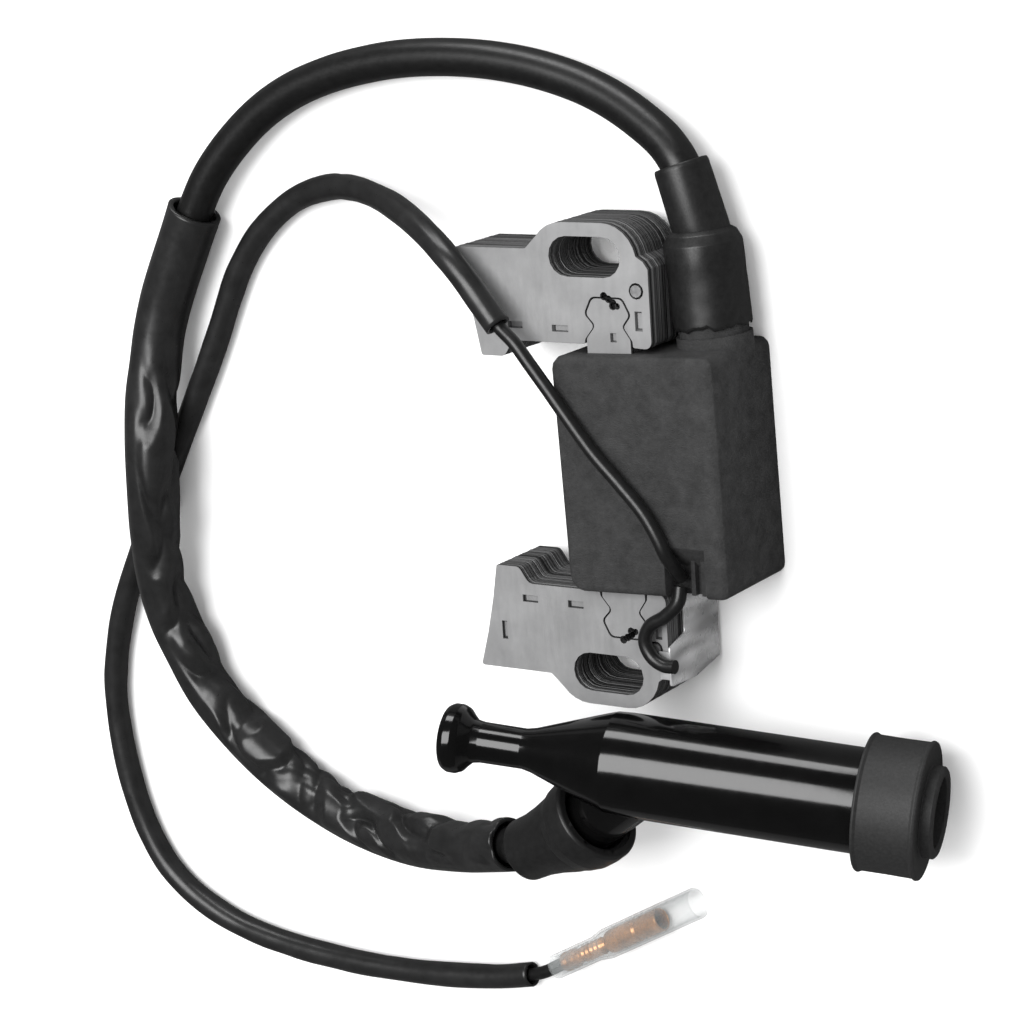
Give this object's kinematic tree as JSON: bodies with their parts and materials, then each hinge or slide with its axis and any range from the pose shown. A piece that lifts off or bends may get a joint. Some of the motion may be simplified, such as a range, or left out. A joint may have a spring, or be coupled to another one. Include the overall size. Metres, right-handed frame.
{
  "type": "ignition coil",
  "caption": "Small-engine ignition coil: laminated U core with slotted lugs, potted coil case, sleeved high-tension lead to an elbow plug cap, and a stop wire with a bullet terminal.",
  "frame": {"origin": "on the surface the coil lies on, under the middle of the coil: halfway between the two mounting slots along Y and halfway between the pole tips and the case's far side along X", "axes": "+Z from the potted back to the front, +Y from the lower mounting slot to the upper one, +X away from the flywheel"},
  "size_m": [0.1979, 0.1894, 0.0383],
  "materials": {
    "core_steel": "brushed",
    "rivet_steel": "satin",
    "tinned_steel": "bright tinned",
    "case_plastic": "sandy matt",
    "resin": "satin",
    "bobbin_plastic": "satin",
    "copper_winding": "enamelled wire",
    "circuit_board": "satin",
    "brass": "satin",
    "boot_rubber": "matt",
    "lead_rubber": "satin",
    "sleeve_vinyl": "gloss",
    "wire_vinyl": "satin",
    "clear_vinyl": "clear",
    "cap_plastic": "high gloss",
    "resistor_ceramic": "matt"
  },
  "bodies": {
    "coil": {"core_upper_leg": "core_steel", "core_lower_leg": "core_steel", "core_yoke": "core_steel", "core_rivet_upper": "rivet_steel", "core_rivet_lower": "rivet_steel", "coil_case": "case_plastic", "potting_resin": "resin", "bobbin": "bobbin_plastic", "primary_winding": "copper_winding", "secondary_winding": "copper_winding", "module_board": "circuit_board", "power_transistor": "resin", "control_chip": "resin", "ht_terminal": "brass", "tower_boot": "boot_rubber", "ht_lead": "lead_rubber", "ht_sleeve": "sleeve_vinyl", "cap_boot": "boot_rubber", "ground_strap": "tinned_steel", "ground_wire": "wire_vinyl", "stop_wire": "wire_vinyl", "stop_wire_sleeve": "sleeve_vinyl", "bullet_terminal": "brass"},
    "plug_cap": {"cap_body": "cap_plastic", "cap_seal": "boot_rubber", "lead_screw": "brass", "resistor": "resistor_ceramic", "contact_spring": "rivet_steel", "plug_contact": "brass"},
    "push_back_cover": {"terminal_cover": "clear_vinyl"}
  },
  "joints": [
    {"name": "cap_swivel", "type": "hinge", "parent": "coil", "child": "plug_cap", "pos_m": [0.0121, -0.0529, 0.0233], "axis": [-0.7853, -0.6132, -0.085], "range_deg": [0, 15]},
    {"name": "cover_slide", "type": "slide", "parent": "coil", "child": "push_back_cover", "axis": [-0.8711, -0.4911, 0], "range_m": [0, 0.0025]}
  ]
}
